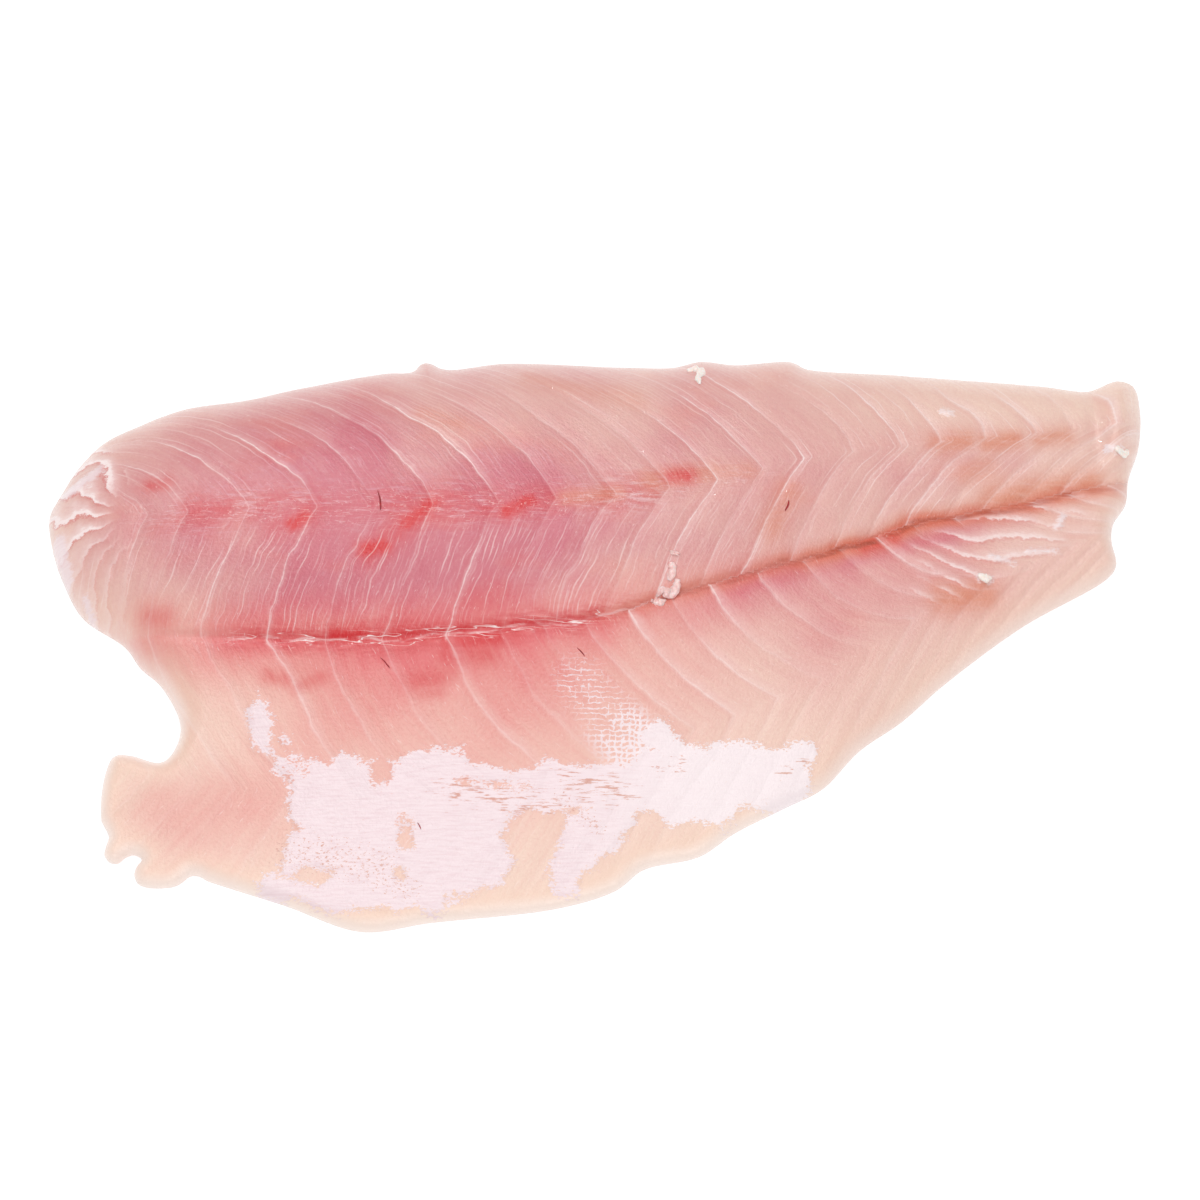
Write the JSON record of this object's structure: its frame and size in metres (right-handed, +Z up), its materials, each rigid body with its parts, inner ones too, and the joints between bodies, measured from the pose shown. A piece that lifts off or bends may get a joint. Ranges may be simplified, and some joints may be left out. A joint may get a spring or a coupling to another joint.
{
  "type": "raw nile perch fillet",
  "caption": "Raw skinless fish fillet lying flesh side up, with a thick rounded loin, a pin-bone crease, a thin belly with a notched nape end and a curled tail corner.",
  "frame": {"origin": "middle of the bounding box, on the flat underside", "axes": "+X from the nape end to the tail, +Y from the belly edge to the back edge, +Z up out of the flesh side"},
  "size_m": [0.314, 0.1696, 0.0291],
  "materials": {
    "flesh": "moist, slightly translucent pink raw flesh"
  },
  "bodies": {
    "root": {"fillet": "flesh"}
  },
  "joints": []
}
